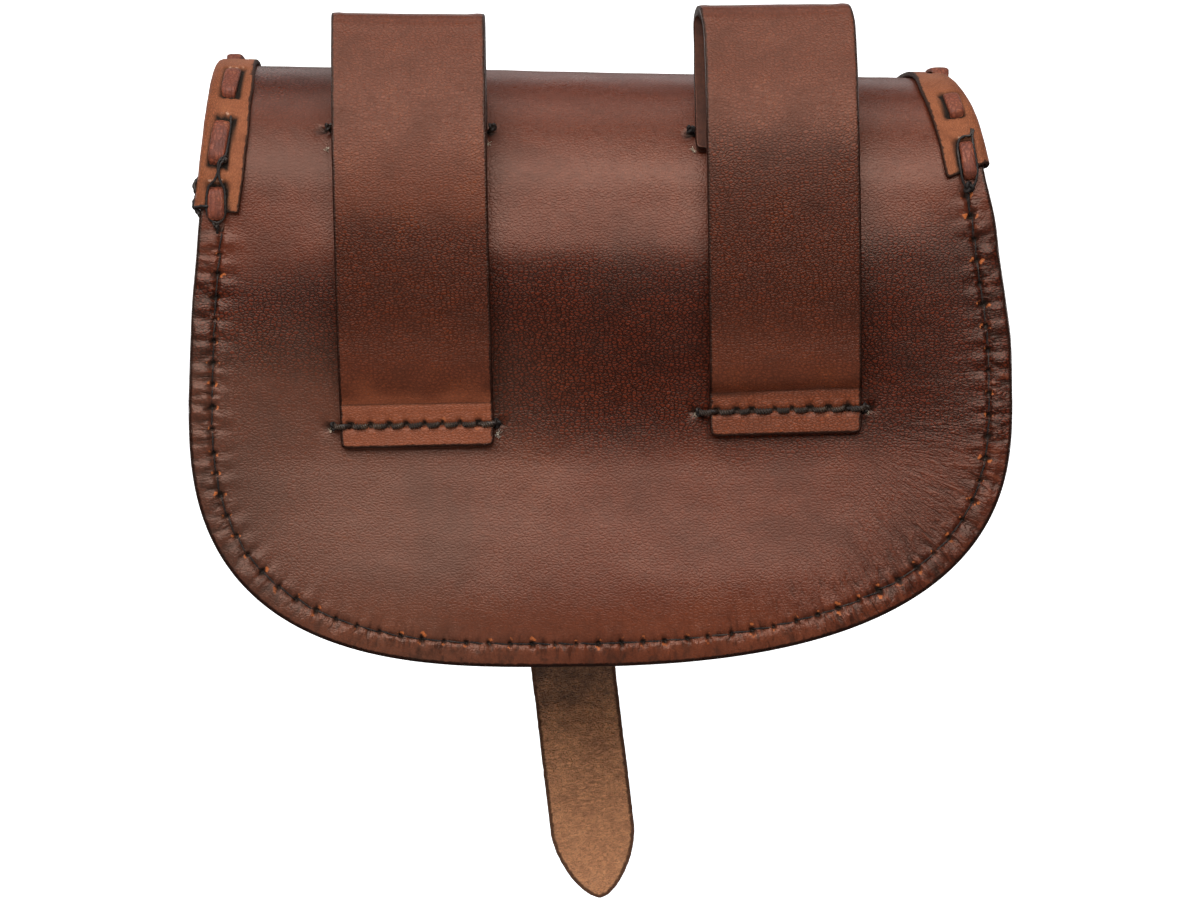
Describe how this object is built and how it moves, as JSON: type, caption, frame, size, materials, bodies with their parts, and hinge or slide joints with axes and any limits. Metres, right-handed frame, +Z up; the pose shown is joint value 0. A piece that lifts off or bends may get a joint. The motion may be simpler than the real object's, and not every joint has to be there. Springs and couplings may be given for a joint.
{
  "type": "belt pouch",
  "caption": "Leather belt pouch with a rounded pocket, a flap that closes over it with a buckled strap, and sewn loops that hang it on a belt.",
  "frame": {"origin": "midway between the belt loops, at the underside of their top folds, where the pouch hangs on the top edge of a belt", "axes": "+Z up, -Y out of the back with the belt loops and towards the wearer, +Y out of the front with the flap, +X to the right as seen from behind"},
  "size_m": [0.1814, 0.0728, 0.203],
  "materials": {
    "brown_leather": "smooth, waxed reddish brown with a soft sheen",
    "loop_leather": "smooth reddish brown, lighter where it is skived",
    "tan_leather": "matt orange tan with dark cut edges",
    "strap_leather": "brown grain side, rough tan flesh side",
    "buckle_brass": "plain, softly worn"
  },
  "bodies": {
    "root": {"back_and_flap": "brown_leather", "gusset": "brown_leather", "front_panel": "brown_leather", "flap_binding": "tan_leather", "belt_loop_left": "loop_leather", "belt_loop_right": "loop_leather", "closing_strap": "strap_leather", "buckle": "buckle_brass", "buckle_tab": "brown_leather"}
  },
  "joints": []
}
